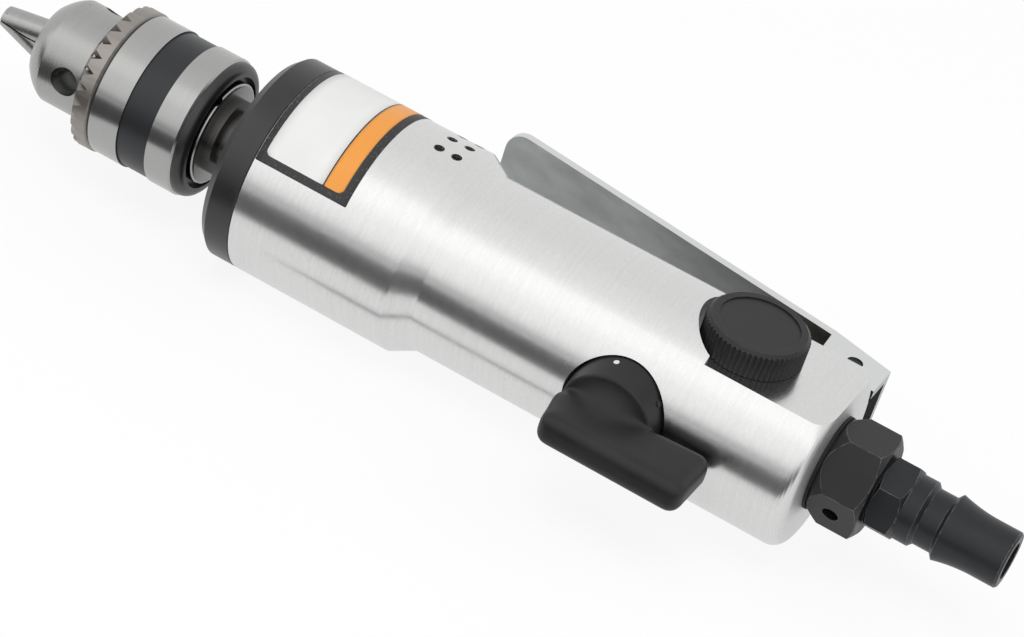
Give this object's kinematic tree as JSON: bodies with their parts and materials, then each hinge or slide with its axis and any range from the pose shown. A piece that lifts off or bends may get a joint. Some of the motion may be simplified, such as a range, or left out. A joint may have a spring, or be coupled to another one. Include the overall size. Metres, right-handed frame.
{
  "type": "air drill",
  "caption": "Straight reversible air drill with a keyed chuck, a throttle lever, a reverse switch, a flow regulator knob and a hose plug.",
  "frame": {"origin": "on the spindle axis, at the housing's front edge where the cap meets it", "axes": "+X along the spindle towards the chuck, +Z towards the regulator knob, +Y towards the reverse switch"},
  "size_m": [0.2271, 0.0739, 0.0432],
  "materials": {
    "turned_aluminium": "turned, bright",
    "black_cap": "satin black",
    "gear_steel": "ground",
    "bright_steel": "satin",
    "polished_steel": "polished",
    "dark_steel": "black oxide",
    "ring_steel": "hardened, tan grey",
    "zinc_sheet": "zinc plated sheet",
    "black_plastic": "satin",
    "brass": "turned",
    "black_anodised": "black anodised",
    "rubber": "matt",
    "felt": "felt",
    "gasket_board": "fibre board",
    "vane_board": "laminate"
  },
  "bodies": {
    "body": {"housing": "turned_aluminium", "front_cap": "black_cap", "bearing_clip": "dark_steel", "ring_gear": "gear_steel", "front_end_plate": "gear_steel", "motor_cylinder": "gear_steel", "rear_end_plate": "gear_steel", "cylinder_dowel": "bright_steel", "gasket": "gasket_board", "muffler_felt": "felt", "spindle_bearing_outer": "bright_steel", "front_bearing_outer": "bright_steel", "rear_bearing_outer": "bright_steel", "throttle_guide": "brass", "throttle_seal": "rubber", "throttle_spring": "bright_steel", "lever_pin": "dark_steel", "regulator_clip": "dark_steel", "reverse_clip": "dark_steel", "inlet_bushing": "black_anodised", "inlet_seal": "rubber", "inlet_screen": "brass", "air_plug": "dark_steel"},
    "spindle": {"spindle": "gear_steel", "spindle_spacer": "dark_steel", "carrier_plate": "gear_steel", "planet_pins": "bright_steel", "spindle_bearing_inner": "bright_steel", "spindle_bearing_balls": "polished_steel", "chuck_body": "bright_steel", "chuck_screw": "dark_steel", "chuck_rear_ring": "black_cap"},
    "rotor": {"rotor": "gear_steel", "rotor_vanes": "vane_board", "front_bearing_inner": "bright_steel", "front_bearing_balls": "polished_steel", "rear_bearing_inner": "bright_steel", "rear_bearing_balls": "polished_steel"},
    "planet_1": {"planet_gear_1": "gear_steel"},
    "planet_2": {"planet_gear_2": "gear_steel"},
    "planet_3": {"planet_gear_3": "gear_steel"},
    "chuck_sleeve": {"chuck_key_ring": "ring_steel", "chuck_sleeve": "bright_steel", "chuck_nut": "gear_steel"},
    "jaw_1": {"chuck_jaw_1": "bright_steel"},
    "jaw_2": {"chuck_jaw_2": "bright_steel"},
    "jaw_3": {"chuck_jaw_3": "bright_steel"},
    "lever": {"throttle_lever": "zinc_sheet"},
    "valve": {"throttle_stem": "brass"},
    "regulator": {"regulator_knob": "black_plastic", "regulator_spool": "turned_aluminium", "regulator_seal": "rubber"},
    "reverse": {"reverse_handle": "black_plastic", "reverse_spool": "turned_aluminium", "reverse_seals": "rubber"}
  },
  "joints": [
    {"name": "spindle_spin", "type": "hinge", "parent": "body", "child": "spindle", "pos_m": [0, 0, 0], "axis": [1, 0, 0], "continuous": true},
    {"name": "rotor_spin", "type": "hinge", "parent": "body", "child": "rotor", "pos_m": [-0.04, 0, 0], "axis": [1, 0, 0], "continuous": true},
    {"name": "planet_1_spin", "type": "hinge", "parent": "spindle", "child": "planet_1", "pos_m": [-0.0122, 0, 0.009], "axis": [1, 0, 0], "continuous": true},
    {"name": "planet_2_spin", "type": "hinge", "parent": "spindle", "child": "planet_2", "pos_m": [-0.0122, 0.00779, -0.0045], "axis": [1, 0, 0], "continuous": true},
    {"name": "planet_3_spin", "type": "hinge", "parent": "spindle", "child": "planet_3", "pos_m": [-0.0122, -0.00779, -0.0045], "axis": [1, 0, 0], "continuous": true},
    {"name": "chuck_sleeve_turn", "type": "hinge", "parent": "spindle", "child": "chuck_sleeve", "pos_m": [0.03, 0, 0], "axis": [1, 0, 0], "range_deg": [0, 1080]},
    {"name": "jaw_1_slide", "type": "slide", "parent": "spindle", "child": "jaw_1", "axis": [-0.9636, 0.1455, -0.2241], "range_m": [0, 0.01121]},
    {"name": "jaw_2_slide", "type": "slide", "parent": "spindle", "child": "jaw_2", "axis": [-0.9636, -0.2669, -0.014], "range_m": [0, 0.01121]},
    {"name": "jaw_3_slide", "type": "slide", "parent": "spindle", "child": "jaw_3", "axis": [-0.9636, 0.1213, 0.2381], "range_m": [0, 0.01121]},
    {"name": "lever_press", "type": "hinge", "parent": "body", "child": "lever", "pos_m": [-0.1139, -0.0214, 0], "axis": [0, 0, 1], "range_deg": [0, 7], "stiffness_Nm_per_rad": 0.6, "springref_deg": -6.88},
    {"name": "valve_slide", "type": "slide", "parent": "body", "child": "valve", "axis": [0, 1, 0], "range_m": [0, 0.002], "deforming": ["throttle_spring"]},
    {"name": "regulator_turn", "type": "hinge", "parent": "body", "child": "regulator", "pos_m": [-0.09895, 0, 0.0146], "axis": [0, 0, 1], "range_deg": [-90, 90]},
    {"name": "reverse_turn", "type": "hinge", "parent": "body", "child": "reverse", "pos_m": [-0.083, 0.0162, 0], "axis": [0, 1, 0], "range_deg": [0, 76]}
  ],
  "couplings": [
    {"joint": "rotor_spin", "follows": "spindle_spin", "ratio": 5},
    {"joint": "planet_1_spin", "follows": "spindle_spin", "ratio": -2.6667},
    {"joint": "planet_2_spin", "follows": "spindle_spin", "ratio": -2.6667},
    {"joint": "planet_3_spin", "follows": "spindle_spin", "ratio": -2.6667},
    {"joint": "jaw_1_slide", "follows": "chuck_sleeve_turn", "m_per_rad": 0.00059452},
    {"joint": "jaw_2_slide", "follows": "chuck_sleeve_turn", "m_per_rad": 0.00059452},
    {"joint": "jaw_3_slide", "follows": "chuck_sleeve_turn", "m_per_rad": 0.00059452},
    {"joint": "valve_slide", "follows": "lever_press", "m_per_rad": 0.0159}
  ]
}
